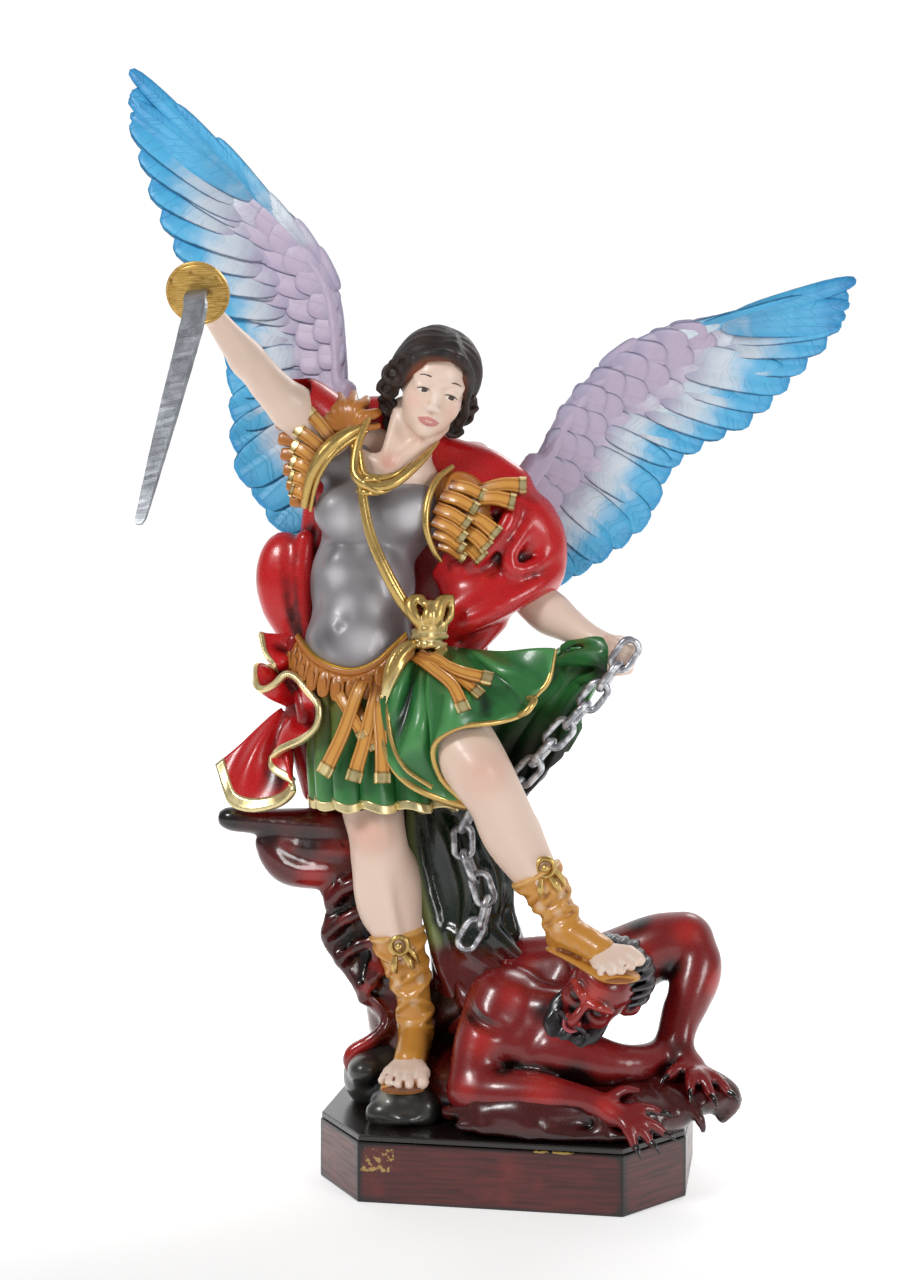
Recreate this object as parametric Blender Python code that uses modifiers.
"""A painted statue of an armed, winged archangel treading down a devil.

Run with: blender --background --python part.py
Five pieces: a chamfered plinth, the cast group that stands on it, two wings scribed to
the back of the group, and a sword that passes through the raised fist.
Metres, +Z up, the front of the plinth faces -Y, the origin is the middle of its underside.
"""

import math

import bmesh
import bpy
from mathutils import Matrix, Vector

# The plinth: a low block with its four corners cut off
PLINTH_WIDTH = 0.322
PLINTH_DEPTH = 0.246
PLINTH_HEIGHT = 0.052
PLINTH_CORNER_WIDTH = 0.048
PLINTH_CORNER_DEPTH = 0.064
PLINTH_EDGE = 0.0012

# The cast group, from the top of the plinth to the crown of the head
GROUP_HEIGHT = 0.694
GROUP_TURN = math.radians(10)
GROUP_SHIFT = -0.006
SLAB_INSET = 0.0008
SLAB_THICKNESS = 0.005
SEAT_GAP = 0.0004

# The wings, and the joint by which each one seats against the back
WING_THICKNESS = 0.009
WING_SEAT_GAP = 0.0004

# The sword: a round guard, a grip through the fist, and a bent strip for a blade
GUARD_RADIUS = 0.0265
GUARD_THICKNESS = 0.004
GRIP_RADIUS = 0.0048
GRIP_LENGTH = 0.036
POMMEL_RADIUS = 0.0085
BLADE_WIDTH = 0.0215
BLADE_THICKNESS = 0.0075
GRIP_CLEARANCE = 0.0005

# How fine the castings are cut
GROUP_CELL = 0.0034
GROUP_TRIANGLES = 6650
WING_CELL = 0.0022
WING_TRIANGLES = 1150

# The carving is written in millimetres for a group 694 mm high on a plinth 52 mm high:
# x to the viewer's right, y away from the viewer, z up from the floor
CARVED_HEIGHT = 694.0
CARVED_FLOOR = 52.0
SCALE = GROUP_HEIGHT / CARVED_HEIGHT

PARTS = "archangel statue"
CUTTERS = "cutters"


def spot(point):
    """A carved point in metres, where it stands on the plinth."""
    x, y, z = (value * SCALE for value in (point[0], point[1], point[2] - CARVED_FLOOR))
    c, s = math.cos(GROUP_TURN), math.sin(GROUP_TURN)
    return Vector((c * x - s * y + GROUP_SHIFT, s * x + c * y, z + PLINTH_HEIGHT))


def turned(direction):
    """A carved direction in the statue's own axes, with its length kept."""
    return spot(direction) - spot((0, 0, 0))


def catmull(points, steps):
    """A smooth curve through the points, with the given steps between each two."""
    knots = [Vector(p) for p in points]
    knots = [2 * knots[0] - knots[1], *knots, 2 * knots[-1] - knots[-2]]
    found = []
    for i in range(1, len(knots) - 2):
        a, b, c, d = knots[i - 1 : i + 3]
        for k in range(steps):
            t = k / steps
            found.append(
                0.5 * (2 * b + (c - a) * t + (2 * a - 5 * b + 4 * c - d) * t**2
                       + (3 * b - a - 3 * c + d) * t**3)
            )
    return [*found, knots[-2]]


def even(points, share):
    """The point at a share of the way along a smooth curve."""
    line = catmull(points, 6)
    at = share * (len(line) - 1)
    i = min(int(at), len(line) - 2)
    return line[i].lerp(line[i + 1], at - i)


def new_object(name, mesh, collection=PARTS):
    made = bpy.data.objects.new(name, mesh)
    bpy.data.collections[collection].objects.link(made)
    return made


def from_bmesh(name, bm, collection=PARTS):
    mesh = bpy.data.meshes.new(name)
    bm.to_mesh(mesh)
    bm.free()
    return new_object(name, mesh, collection)


def baked(made):
    """The object with its curve or modifiers turned into a plain mesh, in place."""
    bpy.context.view_layer.update()
    graph = bpy.context.evaluated_depsgraph_get()
    mesh = bpy.data.meshes.new_from_object(made.evaluated_get(graph))
    mesh.transform(made.matrix_world)
    name, collection = made.name, made.users_collection[0].name
    bpy.data.objects.remove(made)
    return new_object(name, mesh, collection)


# Stock shapes

def limb(knots, collection=PARTS):
    """A round, tapering limb through knots of x, y, z and radius, with round ends."""
    line = smooth_knots(knots)
    data = bpy.data.curves.new("limb", "CURVE")
    data.dimensions = "3D"
    data.bevel_depth = SCALE
    data.bevel_resolution = 3
    data.use_fill_caps = True
    spline = data.splines.new("POLY")
    spline.points.add(len(line) - 1)
    for point, (place, radius) in zip(spline.points, line):
        point.co = (*spot(place), 1)
        point.radius = radius
    made = [baked(new_object("limb", data, collection))]
    for place, radius in (line[0], line[-1]):
        made.append(ball(place, (radius,) * 3, collection=collection))
    return made


def smooth_knots(knots):
    """The knots of a limb as (place, radius), with smooth steps between them."""
    places = catmull([k[:3] for k in knots], 4)
    radii = catmull([(k[3], 0, 0) for k in knots], 4)
    return [(place, radius.x) for place, radius in zip(places, radii)]


def ball(centre, radii, tilt=(0, 0, 0), collection=PARTS):
    """An ellipsoid, with its own axes tilted by degrees about the viewer's x, y and z."""
    bm = bmesh.new()
    bmesh.ops.create_uvsphere(bm, u_segments=16, v_segments=10, radius=1)
    turn = Matrix.Rotation(GROUP_TURN, 4, "Z")
    for angle, axis in zip(reversed(tilt), "ZYX"):
        turn = turn @ Matrix.Rotation(math.radians(angle), 4, axis)
    size = Matrix.Diagonal((*(r * SCALE for r in radii), 1))
    bm.transform(Matrix.Translation(spot(centre)) @ turn @ size)
    return from_bmesh("ball", bm, collection)


def sheet(rows, thickness, across=3, along=3):
    """A cloth through rows of points, each row as long as the next, with a thickness."""
    lines = [catmull(row, along) for row in rows]
    columns = [catmull([line[i] for line in lines], across) for i in range(len(lines[0]))]
    wide, high = len(columns), len(columns[0])
    bm = bmesh.new()
    bmesh.ops.create_grid(bm, x_segments=wide - 1, y_segments=high - 1, size=1)
    for vert in bm.verts:
        i = round((vert.co.x + 1) / 2 * (wide - 1))
        k = round((vert.co.y + 1) / 2 * (high - 1))
        vert.co = spot(columns[i][k])
    made = from_bmesh("sheet", bm)
    shell = made.modifiers.new("cloth thickness", "SOLIDIFY")
    shell.thickness = thickness * SCALE
    shell.offset = 0
    return [baked(made)]


def loft(name, sections, collection=PARTS):
    """A solid skinned over rings of points, each with as many points as the next."""
    bm = bmesh.new()
    rings = [[bm.verts.new(p) for p in ring] for ring in sections]
    for low, high in zip(rings, rings[1:]):
        count = len(low)
        for i in range(count):
            bm.faces.new((low[i], low[(i + 1) % count], high[(i + 1) % count], high[i]))
    bm.faces.new(rings[0][::-1])
    bm.faces.new(rings[-1])
    bmesh.ops.recalc_face_normals(bm, faces=bm.faces)
    return from_bmesh(name, bm, collection)


def links(path, long, wide, wire):
    """Chain links in a row along a path, each one turned a quarter from the last."""
    line = catmull(path, 8)
    spans = [(b - a).length for a, b in zip(line, line[1:])]
    pitch = long - 2 * wire
    count = int(sum(spans) / pitch)
    made = []
    for i in range(count):
        place, ahead = walked(line, pitch * (i + 0.5)), walked(line, pitch * (i + 0.5) + 1)
        axis = (ahead - place).normalized()
        side = axis.cross(Vector((0, 1, 0))).normalized()
        if i % 2:
            side = (side + 1.6 * axis.cross(side)).normalized()
        made += limb(ring_knots(place, axis, side, long, wide, wire))
    return made


def ring_knots(place, axis, side, long, wide, wire):
    """The knots of one oval link about a place."""
    knots = []
    for k in range(9):
        angle = math.tau * k / 8
        reach = (long / 2 - wire) * math.cos(angle)
        spread = (wide / 2 - wire) * math.sin(angle)
        knots.append((*(place + reach * axis + spread * side), wire))
    return knots


def walked(line, distance):
    """The point a distance along a line of points."""
    for a, b in zip(line, line[1:]):
        span = (b - a).length
        if distance <= span:
            return a.lerp(b, distance / span)
        distance -= span
    return line[-1] + (line[-1] - line[-2]).normalized() * distance


def fused(name, pieces, cell, rounds, triangles):
    """One closed casting made from overlapping pieces, cut down to a number of triangles."""
    bm = bmesh.new()
    for piece in pieces:
        bm.from_mesh(piece.data)
        bpy.data.objects.remove(piece)
    made = from_bmesh(name, bm)
    skin = made.modifiers.new("one skin", "REMESH")
    skin.mode = "VOXEL"
    skin.voxel_size = cell
    softer = made.modifiers.new("soften", "SMOOTH")
    softer.factor = 0.5
    softer.iterations = rounds
    made = baked(made)
    made.data.calc_loop_triangles()
    fewer = made.modifiers.new("fewer faces", "DECIMATE")
    fewer.use_collapse_triangulate = True
    fewer.ratio = min(1.0, triangles / len(made.data.loop_triangles))
    return baked(made)


def boolean(made, other, operation):
    """The object joined with, or cut by, another one, which is used up."""
    cut = made.modifiers.new(operation.lower(), "BOOLEAN")
    cut.operation = operation
    cut.object = other
    made = baked(made)
    bpy.data.objects.remove(other)
    return made


def box(name, size, matrix, collection=CUTTERS):
    bm = bmesh.new()
    bmesh.ops.create_cube(bm, size=1)
    bm.transform(matrix @ Matrix.Diagonal((*size, 1)))
    return from_bmesh(name, bm, collection)


def rod(name, radius, depth, matrix, sides=24, collection=CUTTERS):
    bm = bmesh.new()
    bmesh.ops.create_cone(
        bm, cap_ends=True, segments=sides, radius1=radius, radius2=radius, depth=depth
    )
    bm.transform(matrix)
    return from_bmesh(name, bm, collection)


def cut_cornered_block(name, inset, low, high):
    """A block in the plinth's outline, inset all round, with its four upright corners cut off."""
    slant = PLINTH_CORNER_DEPTH / PLINTH_CORNER_WIDTH
    width = PLINTH_WIDTH - 2 * inset
    depth = (PLINTH_DEPTH - 2 * inset) / slant
    bm = bmesh.new()
    bmesh.ops.create_cube(bm, size=1)
    middle = Matrix.Translation((0, 0, (low + high) / 2))
    bm.transform(middle @ Matrix.Diagonal((width, depth, high - low, 1)))
    upright = [e for e in bm.edges if abs(e.verts[0].co.z - e.verts[1].co.z) > (high - low) / 2]
    bmesh.ops.bevel(bm, geom=upright, offset=PLINTH_CORNER_WIDTH, offset_type="OFFSET", segments=1, affect="EDGES")
    bm.transform(Matrix.Diagonal((1, slant, 1, 1)))
    return from_bmesh(name, bm)


# The carving of the archangel, in millimetres

def archangel_body():
    made = []
    made.append(ball((-112, 2, 587), (54, 38, 52), (0, 8, 0)))
    made.append(ball((-126, 0, 522), (48, 36, 62)))
    made.append(ball((-118, 4, 444), (52, 42, 44)))
    made.append(ball((-137, -17, 594), (28, 20, 24)))
    made.append(ball((-90, -17, 582), (28, 20, 24)))
    made += limb([(-160, 0, 640, 27), (-110, 2, 622, 27), (-56, 4, 600, 28)])
    made += limb([(-88, 2, 622, 20), (-76, -10, 660, 18)])
    return made


def archangel_head():
    """The head, tilted to the viewer's right, under a mass of waved hair."""
    made = [
        ball((-63, -16, 702), (42, 42, 45), (0, 22, 0)),
        ball((-66, -34, 684), (28, 26, 36), (0, 22, 0)),
        ball((-99, -6, 700), (15, 17, 17)),
        ball((-90, -14, 722), (16, 18, 16)),
        ball((-32, -12, 690), (15, 20, 22)),
        ball((-45, -8, 668), (14, 18, 14)),
        ball((-88, 2, 674), (15, 20, 20)),
    ]
    return made


def archangel_arms():
    raised = limb([
        (-158, 0, 642, 25), (-190, -20, 682, 19), (-211, -40, 704, 17.5),
        (-230, -65, 728, 14), (-243, -86, 744, 10.5),
    ])
    raised.append(ball(FIST_RAISED, (14, 15, 16)))
    lowered = limb([
        (-48, 5, 598, 27), (-10, 8, 545, 23), (20, 5, 508, 20), (50, -8, 489, 16), (80, -26, 476, 11),
    ])
    lowered.append(ball((100, -36, 467), (15, 14, 14)))
    lowered += limb([(92, -48, 474, 5), (106, -50, 470, 5), (112, -42, 458, 5)])
    lowered += limb([(90, -46, 464, 5), (103, -50, 460, 5), (108, -42, 449, 5)])
    return raised + lowered


def archangel_legs():
    standing = limb([
        (-134, 5, 425, 35), (-124, -8, 360, 33), (-114, -20, 303, 26), (-104, -8, 252, 29),
        (-89, -8, 190, 20), (-79, -12, 150, 15), (-77, -8, 122, 15),
    ])
    standing += limb([(-76, 0, 112, 15), (-84, -35, 108, 15), (-92, -58, 99, 12)])
    raised = limb([
        (-78, 0, 425, 38), (-50, -52, 398, 36), (-26, -84, 368, 29), (3, -70, 312, 27),
        (28, -70, 276, 20), (48, -70, 246, 15), (50, -66, 226, 14),
    ])
    raised += limb([(46, -62, 218, 13), (72, -80, 220, 13), (97, -98, 214, 10)])
    return standing + raised


def tunic_skirt():
    """The pleated skirt: a flared shell from the waist to the hem, open below."""
    count, rings = 48, []
    for share in (0.0, 0.35, 0.7, 1.0):
        rings.append([skirt_point(share, math.tau * i / count) for i in range(count)])
    for share in (1.0, 0.5):
        rings.append([skirt_point(share, math.tau * i / count, 0.82) for i in range(count)])
    return [loft("skirt", [[spot(p) for p in ring] for ring in rings])]


def skirt_point(share, angle, inside=1.0):
    """A point on the skirt, share 0 at the waist and 1 at the hem; pleats deepen downwards."""
    centre = Vector((-128, 0, 462)).lerp(Vector((-98, -6, 333)), share)
    wide, deep = 50 + 19 * share, 42 + 12 * share
    pleat = 1 + 0.045 * share * math.sin(14 * angle + 1.2 * share)
    return (
        centre.x + wide * pleat * inside * math.cos(angle),
        centre.y + deep * pleat * inside * math.sin(angle),
        centre.z + 3 * share * math.sin(7 * angle),
    )


def thigh_panel():
    """The part of the skirt that is thrown over the raised thigh and flares to the right."""
    waist = [(-80, -40, 478), (-78, -42, 477), (-76, -43, 476), (-74, -44, 475), (-72, -44, 474),
             (-70, -44, 473), (-67, -43, 472), (-64, -42, 471), (-60, -40, 470), (-56, -37, 468),
             (-51, -33, 466), (-46, -28, 465), (-42, -23, 464), (-38, -18, 463)]
    hem = [(-93, -58, 455), (-106, -66, 426), (-105, -72, 392), (-93, -78, 365), (-70, -80, 348),
           (-35, -72, 337), (-57, -84, 358), (-63, -92, 387), (-44, -98, 404), (-10, -88, 408),
           (16, -75, 416), (25, -70, 430), (36, -70, 443), (42, -65, 469)]
    middle = []
    for i, (a, b) in enumerate(zip(waist, hem)):
        half = Vector(a).lerp(Vector(b), 0.55)
        half.y -= 16 - 5 * (i % 2)
        middle.append(half)
    return sheet([waist, middle, hem], 6)


def green_drape():
    """The cloth that the lowered hand holds out, with the chain over its edge."""
    top = [(-64, -4, 444), (-30, 0, 436), (1, 0, 438), (30, -6, 450), (52, -14, 468), (78, -28, 470), (96, -36, 460)]
    upper = [(-62, 0, 420), (-30, 12, 418), (0, 14, 420), (30, 8, 430), (54, -2, 440), (76, -20, 446), (90, -32, 450)]
    lower = [(-58, 8, 372), (-32, 16, 372), (-6, 18, 378), (20, 8, 392), (42, -4, 405), (62, -16, 416), (78, -28, 430)]
    bottom = [(-52, 8, 328), (-34, 12, 327), (-14, 12, 327), (4, 4, 331), (20, -8, 337), (36, -14, 360), (52, -20, 384)]
    return sheet([top, upper, lower, bottom], 8)


def red_cape():
    """The cape: bunched over the left arm, down the back, and out to the left in a ruffle."""
    made = limb([(-57, 12, 622, 17), (-21, 6, 603, 22), (19, 2, 580, 28), (34, 4, 548, 26), (28, 2, 525, 24)])
    made += limb([(38, 4, 532, 17), (0, -8, 522, 27), (-36, -18, 502, 24), (-60, -20, 480, 15), (-42, -8, 462, 10)])
    made += limb([(-6, -4, 502, 17), (-22, -4, 488, 16), (-42, -4, 466, 13)])
    made += limb([(0, 6, 560, 30), (-34, -4, 530, 26)])
    made += limb([(-150, 18, 650, 16), (-122, 22, 672, 18), (-92, 24, 664, 20), (-50, 18, 628, 14)])
    back = [
        [(-165, 22, 612), (-125, 40, 622), (-85, 42, 618), (-40, 30, 600)],
        [(-186, 30, 545), (-130, 50, 545), (-85, 52, 540), (-38, 34, 530)],
        [(-178, 38, 455), (-130, 62, 455), (-85, 64, 452), (-40, 46, 450)],
        [(-168, 36, 375), (-125, 62, 370), (-80, 62, 365), (-35, 44, 370)],
        [(-168, 28, 312), (-122, 52, 305), (-78, 52, 300), (-30, 40, 300)],
    ]
    made += sheet(back, 14)
    made.append(ball((-196, 26, 524), (29, 24, 44), (0, -4, 0)))
    made += limb([(-196, 26, 500, 18), (-184, 18, 460, 16), (-172, 14, 410, 20), (-162, 16, 345, 22)])
    made += ruffle()
    return made


def ruffle():
    """The rippled left corner of the cape, from its gathering to its gilt hem."""
    hem = [(-224, 0, 481), (-214, -10, 458), (-220, 8, 451), (-226, -12, 440), (-208, -26, 432),
           (-181, -34, 442), (-163, -50, 421), (-165, -52, 403), (-197, -30, 377), (-207, -22, 368),
           (-185, -36, 349), (-197, -34, 330), (-224, -28, 324), (-250, -15, 338), (-259, -5, 362)]
    gather = [(-190, 5, 478), (-185, 8, 454), (-191, 12, 445), (-194, 10, 438), (-193, 2, 415),
              (-180, -2, 412), (-173, -8, 409), (-175, -8, 407), (-184, -4, 407), (-188, -2, 407),
              (-190, 0, 408), (-194, 4, 409), (-197, 6, 410), (-199, 8, 412), (-200, 8, 413)]
    middle = [Vector(a).lerp(Vector(b), 0.5) + Vector((0, -4, 2)) for a, b in zip(gather, hem)]
    made = sheet([gather, middle, hem], 6)
    made += limb([(-188, 8, 470, 8), (-188, 6, 440, 9), (-186, 4, 412, 10), (-178, 6, 380, 12)])
    made.append(ball((-200, -2, 375), (24, 12, 32), (0, 20, 0)))
    return made


def straps():
    """The lappets of both shoulders and of the skirt, the belt, the bow and the sash."""
    made = []
    for root, tip in (
        ((-136, -18, 650), (-150, -12, 682)),
        ((-150, -24, 645), (-172, -22, 680)), ((-158, -28, 632), (-196, -22, 656)),
        ((-165, -28, 618), (-196, -20, 634)), ((-168, -24, 604), (-192, -14, 610)),
        ((-46, -14, 622), (10, -18, 608)), ((-58, -32, 612), (4, -38, 590)),
        ((-64, -40, 594), (-10, -52, 566)), ((-62, -40, 576), (-14, -50, 552)),
        ((-146, -46, 442), (-166, -60, 358)), ((-132, -52, 440), (-138, -70, 350)),
        ((-112, -54, 444), (-112, -74, 348)), ((-60, -50, 464), (-18, -96, 418)),
        ((-52, -44, 466), (10, -80, 448)),
    ):
        half = Vector(root).lerp(Vector(tip), 0.5)
        made += limb([(*root, 7), (*half, 7.5), (*tip, 6)])
    belt = [(-185, 0, 468), (-168, -32, 448), (-138, -50, 436), (-105, -54, 444), (-80, -46, 466),
            (-70, -20, 480), (-80, 30, 478), (-130, 42, 468), (-175, 28, 470), (-185, 0, 468)]
    made += limb([(*p, 7) for p in belt])
    made += limb([(-134, -30, 652, 3.5), (-126, -47, 615, 3.5), (-119, -52, 572, 3.5), (-104, -50, 537, 3.5),
                  (-87, -50, 507, 3.5), (-71, -45, 483, 3.5)])
    made += [ball((-63, -54, 492), (14, 9, 9), (0, -50, 0)), ball((-66, -56, 476), (12, 10, 9))]
    made += limb([(-76, -52, 470, 7), (-92, -66, 446, 8), (-96, -70, 425, 5)])
    return made


# The carving of the devil and of the ground, in millimetres

def devil_body():
    made = limb([(-70, 40, 118, 34), (-30, 24, 150, 42), (20, 4, 164, 46), (70, -8, 170, 42), (110, -14, 184, 32)])
    made += limb([(-3, -40, 152, 34), (-22, -64, 118, 25), (-31, -78, 90, 20)])
    made += limb([(-31, -80, 86, 20), (20, -100, 88, 20), (62, -112, 90, 13), (88, -120, 82, 11)])
    made += limb([(108, -12, 186, 33), (138, -18, 203, 29), (166, -20, 212, 23)])
    made += limb([(167, -22, 206, 21), (162, -40, 170, 22), (151, -60, 132, 15), (158, -72, 112, 12)])
    made += limb([(150, -40, 150, 18), (140, -60, 112, 18), (90, -84, 110, 22)])
    made += limb([(0, -52, 130, 32), (40, -58, 118, 30)])
    return made


def devil_head():
    """The head under the raised foot, with cropped hair, nose and beard."""
    return [
        ball((82, -72, 176), (31, 32, 36), (20, 25, 0)),
        ball((62, -88, 150), (22, 20, 22)),
        ball((78, -104, 156), (8, 9, 12), (30, 0, 0)),
        ball((52, -86, 136), (16, 16, 15)),
        ball((70, -92, 128), (17, 14, 11)),
        *limb([(80, -50, 168, 22), (60, -20, 160, 30)]),
    ]


def devil_hands():
    made = []
    for tip in ((104, -140, 60), (118, -136, 62), (130, -130, 68), (128, -118, 80)):
        made += limb([(86, -120, 82, 7), (*(Vector((86, -120, 84)).lerp(Vector(tip), 0.55)), 6), (*tip, 4.5)])
    for tip in ((138, -82, 94), (158, -98, 84), (174, -96, 82), (188, -88, 84)):
        made += limb([(162, -72, 112, 8), (*(Vector((162, -74, 112)).lerp(Vector(tip), 0.55)), 6.5), (*tip, 4.5)])
    return made


def devil_wing():
    """The folded bat wing behind the standing leg: two thick rolls over a scalloped web."""
    made = limb([(-120, 40, 305, 16), (-140, 34, 302, 16), (-184, 20, 306, 14), (-217, 6, 310, 11), (-246, -2, 314, 10)])
    made += limb([(-110, 42, 264, 18), (-140, 36, 263, 17), (-178, 20, 265, 16), (-203, 8, 272, 13), (-217, 5, 288, 9)])
    made += limb([(-110, 42, 300, 22), (-110, 40, 250, 24), (-108, 32, 190, 26), (-96, 26, 130, 30), (-92, 24, 92, 30)])
    edge = [(-150, 24, 256), (-163, 20, 252), (-156, 17, 233), (-161, 14, 207), (-150, 14, 187),
            (-134, 12, 166), (-122, 10, 148), (-107, 8, 137), (-112, 0, 124), (-128, -6, 112), (-134, -8, 100), (-122, -6, 86)]
    inner = [(-118 + 3 * i, 36, z) for i, (x, y, z) in enumerate(edge)]
    made += sheet([edge, inner], 16)
    made += sheet([[(-125, 38, 312), (-165, 26, 316), (-200, 14, 318)], [(-125, 38, 262), (-165, 26, 264), (-200, 12, 268)]], 10)
    made += limb([(-165, 14, 350, 16), (-178, 10, 330, 14), (-160, 16, 318, 14)])
    return made


def ground():
    """Boulders and a spread of rock and cloth over the slab, overhanging at the right."""
    made = [
        ball((-113, 6, 80), (33, 36, 32)),
        ball((-86, -48, 70), (33, 32, 27)),
        ball((-92, -52, 84), (18, 22, 12)),
        ball((10, -10, 84), (105, 78, 36)),
        ball((98, -52, 84), (84, 56, 26), (0, -4, 0)),
        ball((162, -76, 88), (42, 36, 18), (0, -6, 0)),
        ball((60, -96, 64), (80, 24, 16)),
        ball((-30, 40, 90), (90, 50, 44)),
    ]
    made += limb([(-20, 26, 334, 32), (-22, 28, 282, 32), (-24, 26, 232, 31), (-14, 20, 190, 40), (-10, 16, 140, 46)])
    made += limb([(-58, 26, 334, 30), (-56, 28, 282, 31), (-54, 26, 232, 32), (-50, 22, 180, 36), (-40, 20, 140, 40)])
    return made


CHAIN_PATH = [(106, -56, 465), (92, -54, 446), (79, -46, 428), (61, -36, 406), (41, -28, 386), (24, -24, 366),
              (6, -18, 345), (-20, -12, 330), (-34, -10, 307), (-32, -8, 283), (-22, -10, 260), (-11, -12, 246),
              (-20, -16, 229), (-32, -20, 212)]
CHAIN_LINK = (27, 17, 2.8)
FIST_RAISED = (-251, -103, 758)


def statue_group():
    """Everything that was cast in one: the figures, their dress, the chain and the ground."""
    pieces = [
        *archangel_body(), *archangel_head(), *archangel_arms(), *archangel_legs(), *tunic_skirt(),
        *thigh_panel(), *green_drape(), *red_cape(), *straps(), *devil_body(), *devil_head(),
        *devil_hands(), *devil_wing(), *ground(), *links(CHAIN_PATH, *CHAIN_LINK),
    ]
    seat = PLINTH_HEIGHT + SEAT_GAP
    pieces.append(cut_cornered_block("slab", SLAB_INSET, seat - SLAB_THICKNESS, seat + SLAB_THICKNESS))
    made = fused("statue_group", pieces, GROUP_CELL, 2, GROUP_TRIANGLES)
    below = box("below the seat", (2, 2, 1), Matrix.Translation((0, 0, seat - 0.5)))
    return boolean(made, below, "DIFFERENCE")


# The wings

WING_SWORD_SIDE = {
    "outline": [(-170, 44, 554), (-199, 50, 562), (-219, 58, 588), (-246, 64, 622), (-253, 72, 676), (-262, 82, 741),
                (-273, 86, 788), (-296, 92, 824), (-314, 96, 858), (-327, 99, 890), (-338, 103, 928), (-350, 107, 970),
                (-349, 110, 1008)],
    "bone": [(-142, 50, 640), (-142, 55, 702), (-146, 62, 739), (-151, 68, 785), (-165, 74, 814), (-188, 82, 843),
             (-212, 90, 870)],
    "lead": [(-150, 72, 800), (-173, 78, 836), (-194, 84, 862), (-223, 90, 889), (-268, 99, 940), (-306, 104, 970)],
    "root": [(-118, 30, 596), (-130, 44, 620), (-142, 52, 660)],
}
WING_CHAIN_SIDE = {
    "outline": [(49, 45, 517), (67, 55, 528), (91, 66, 541), (121, 80, 562), (143, 88, 583), (154, 94, 608),
                (166, 98, 634), (188, 104, 652), (216, 110, 668), (240, 114, 678), (270, 119, 706), (300, 122, 741),
                (326, 124, 770), (340, 125, 814)],
    "bone": [(-4, 48, 590), (28, 58, 636), (56, 66, 687), (82, 74, 716), (112, 82, 738), (148, 92, 753), (186, 100, 764)],
    "lead": [(88, 74, 725), (127, 84, 750), (167, 96, 763), (206, 104, 769), (248, 112, 780), (290, 119, 790)],
    "root": [(-62, 36, 584), (-30, 46, 590), (0, 50, 600)],
}
# For each row: how far it reaches from bone to outline, its feathers and their half width
FEATHER_ROWS = ((1.0, 17, 0.54), (0.74, 15, 0.62), (0.52, 14, 0.66), (0.34, 12, 0.7))
WING_CAMBER = 12.0


def feather(base, tip, half_width, lift):
    """A flat, round-tipped blade from its base to its tip, lifted towards the viewer."""
    base, tip = Vector(base), Vector(tip)
    axis = tip - base
    side = axis.cross(Vector((0, 1, 0))).normalized()
    face = side.cross(axis).normalized()
    bm = bmesh.new()
    bmesh.ops.create_uvsphere(bm, u_segments=10, v_segments=6, radius=1)
    for vert in bm.verts:
        fuller = 1 + 0.25 * vert.co.x
        place = base.lerp(tip, 0.5 + 0.5 * vert.co.x)
        place = place + side * (vert.co.y * half_width * fuller) + face * (vert.co.z * 4.0)
        place.y -= lift
        vert.co = spot(place)
    return from_bmesh("feather", bm)


def wing(name, carving):
    """One wing: a cambered web with rows of overlapping feathers on both faces."""
    pieces = []
    bone, outline = carving["bone"], carving["outline"]
    stations = 13
    rows = []
    for share in (0.0, 0.4, 0.86):
        row = []
        for i in range(stations):
            along = i / (stations - 1)
            point = even(bone, along).lerp(even(outline, along), share)
            point.y += WING_CAMBER * math.sin(math.pi * share)
            row.append(point)
        rows.append(row)
    pieces += sheet(rows, WING_THICKNESS / SCALE, across=2, along=1)
    for reach, count, half in FEATHER_ROWS:
        for i in range(count):
            along = (i + 0.5) / count
            start, end = even(bone, along), even(outline, along)
            width = half * (even(outline, (i + 1) / count) - even(outline, i / count)).length * (0.4 + 0.6 * reach)
            tip = start.lerp(end, reach)
            base = start.lerp(end, max(0.0, reach - 0.5))
            for side in (1, -1):
                lift = side * (3.0 + 4.5 * (1 - reach)) - WING_CAMBER * math.sin(math.pi * reach * 0.7)
                pieces.append(feather(base, tip, max(width, 8), lift))
    for i, tip in enumerate(carving["lead"]):
        start = even(bone, min(1.0, 0.55 + 0.09 * i))
        pieces.append(feather(start, Vector(start).lerp(Vector(tip), 0.97), 8, 3))
    outer = Vector(carving["outline"][-1])
    pieces.append(feather(Vector(carving["bone"][-1]).lerp(outer, 0.3), outer, 12, 0))
    pieces += limb([(*p, 10) for p in carving["root"]] + [(*p, 5) for p in carving["bone"][1:]])
    return fused(name, pieces, WING_CELL, 1, WING_TRIANGLES)


def swollen(source, gap):
    """A cutter in the shape of a solid, grown all over by a gap."""
    made = new_object("swollen", source.data.copy(), CUTTERS)
    grow = made.modifiers.new("gap", "DISPLACE")
    grow.mid_level = 0
    grow.strength = gap
    return baked(made)


def fitted_wing(group, name, carving):
    """One wing, its root cut to the back of the group so that it seats there."""
    made = boolean(wing(name, carving), swollen(group, WING_SEAT_GAP), "DIFFERENCE")
    return largest_island(made)


def largest_island(made):
    """The object without the loose scraps that a cut left."""
    bm = bmesh.new()
    bm.from_mesh(made.data)
    left, islands = set(bm.verts), []
    while left:
        island, edge = set(), [left.pop()]
        while edge:
            vert = edge.pop()
            island.add(vert)
            for other in (e.other_vert(vert) for e in vert.link_edges):
                if other in left:
                    left.discard(other)
                    edge.append(other)
        islands.append(island)
    islands.sort(key=len)
    for island in islands[:-1]:
        bmesh.ops.delete(bm, geom=list(island), context="VERTS")
    bm.to_mesh(made.data)
    bm.free()
    return made


# The sword

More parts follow.
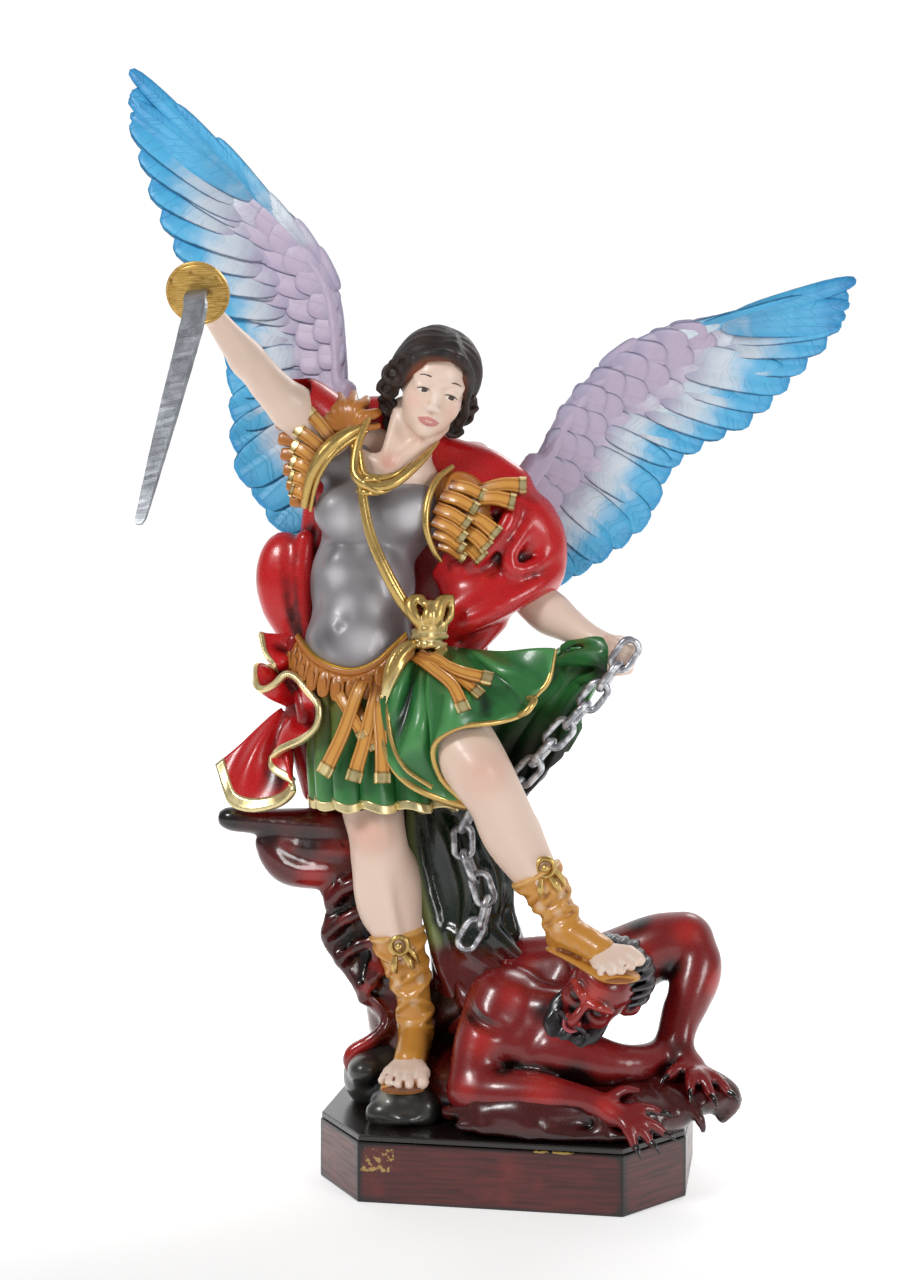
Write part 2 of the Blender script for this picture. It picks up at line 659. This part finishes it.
GUARD_CENTRE = (-256, -122, 766)
GUARD_FACING = (-0.10, -0.90, -0.42)
BEND = (-254, -168, 738)
TIP = (-283, -262, 573)


def sword_frame():
    """The matrix of the grip: +Z towards the guard's face, the origin in the guard."""
    return Matrix.Translation(spot(GUARD_CENTRE)) @ turned(GUARD_FACING).to_track_quat("Z", "Y").to_matrix().to_4x4()


def sword():
    """The turned hilt, from its guard to its pommel, in one with the bent and ridged blade."""
    frame = sword_frame()
    guard, pommel_middle = GUARD_THICKNESS / 2, -GUARD_THICKNESS / 2 - GRIP_LENGTH
    profile = [(0, guard), (GUARD_RADIUS, guard), (GUARD_RADIUS, -guard), (GRIP_RADIUS, -guard)]
    neck = math.asin(GRIP_RADIUS / POMMEL_RADIUS)
    for i in range(9):
        angle = neck + (math.pi - neck) * i / 8
        profile.append((POMMEL_RADIUS * math.sin(angle), pommel_middle + POMMEL_RADIUS * math.cos(angle)))
    made = lathe("sword", profile, frame)
    return boolean(made, blade(frame), "UNION")


def lathe(name, profile, matrix):
    """A profile of radius and height, from the top down, turned once about the matrix's Z."""
    bm = bmesh.new()
    verts = [bm.verts.new((radius, 0, height)) for radius, height in profile]
    for a, b in zip(verts, verts[1:]):
        bm.edges.new((a, b))
    made = from_bmesh(name, bm)
    turn = made.modifiers.new("turned", "SCREW")
    turn.steps = 28
    turn.render_steps = 28
    turn.use_merge_vertices = True
    turn.merge_threshold = 1e-5
    made.matrix_world = matrix
    return baked(made)


def blade(frame):
    root = frame @ Vector((0, 0, 0))
    bend, tip = spot(BEND), spot(TIP)
    along = tip - bend
    stations = [
        (root, 0.55, 0.9), (root.lerp(bend, 0.6), 0.7, 0.95), (bend, 1.0, 1.0),
        (bend + along * 0.5, 0.86, 0.85), (bend + along * 0.93, 0.66, 0.6), (tip, 0.22, 0.25),
    ]
    sections = []
    for i, (place, wide, thick) in enumerate(stations):
        ahead = (stations[min(i + 1, len(stations) - 1)][0] - stations[max(i - 1, 0)][0]).normalized()
        side = ahead.cross(Vector((0.35, 1, 0))).normalized()
        face = side.cross(ahead).normalized()
        w, t = BLADE_WIDTH / 2 * wide, BLADE_THICKNESS / 2 * thick
        ring = [(w, 0.35), (0, 1), (-w, 0.35), (-w, -0.35), (0, -1), (w, -0.35)]
        sections.append([place + side * a + face * (t * b) for a, b in ring])
    return loft("blade", sections, CUTTERS)


def cut_for_sword(group):
    """Bores the raised fist for the grip and clears it from the guard and the pommel."""
    frame = sword_frame()
    room = GRIP_CLEARANCE
    behind = -GUARD_THICKNESS / 2
    cutters = [
        (GRIP_RADIUS + room, GRIP_LENGTH + 0.02, behind - GRIP_LENGTH / 2),
        (GUARD_RADIUS + room, GUARD_THICKNESS + 2 * room, 0),
        (POMMEL_RADIUS + room, 2 * (POMMEL_RADIUS + room), behind - GRIP_LENGTH),
    ]
    for radius, depth, where in cutters:
        group = boolean(group, rod("bore", radius, depth, frame @ Matrix.Translation((0, 0, where))), "DIFFERENCE")
    return group


# Putting it together

def painted(made, name, colour, roughness, metallic=0.0):
    material = bpy.data.materials.new(name)
    material.use_nodes = True
    shader = material.node_tree.nodes["Principled BSDF"]
    shader.inputs["Base Color"].default_value = (*colour, 1)
    shader.inputs["Roughness"].default_value = roughness
    shader.inputs["Metallic"].default_value = metallic
    made.data.materials.clear()
    made.data.materials.append(material)


def plinth():
    made = cut_cornered_block("plinth", 0, 0, PLINTH_HEIGHT)
    soft = made.modifiers.new("worn edges", "BEVEL")
    soft.width = PLINTH_EDGE
    soft.segments = 2
    return made


def main():
    for old in list(bpy.data.objects):
        bpy.data.objects.remove(old)
    for name in (PARTS, CUTTERS):
        bpy.context.scene.collection.children.link(bpy.data.collections.new(name))
    base = plinth()
    group = cut_for_sword(statue_group())
    group = largest_island(group)
    sword_wing = fitted_wing(group, "wing_sword_side", WING_SWORD_SIDE)
    chain_wing = fitted_wing(group, "wing_chain_side", WING_CHAIN_SIDE)
    blade_piece = sword()
    painted(base, "varnished wood", (0.075, 0.012, 0.010), 0.38)
    painted(group, "painted casting", (0.45, 0.05, 0.04), 0.4)
    painted(sword_wing, "painted wing", (0.42, 0.62, 0.75), 0.5)
    painted(chain_wing, "painted wing", (0.42, 0.62, 0.75), 0.5)
    painted(blade_piece, "silver paint", (0.45, 0.45, 0.47), 0.35, 0.8)


main()
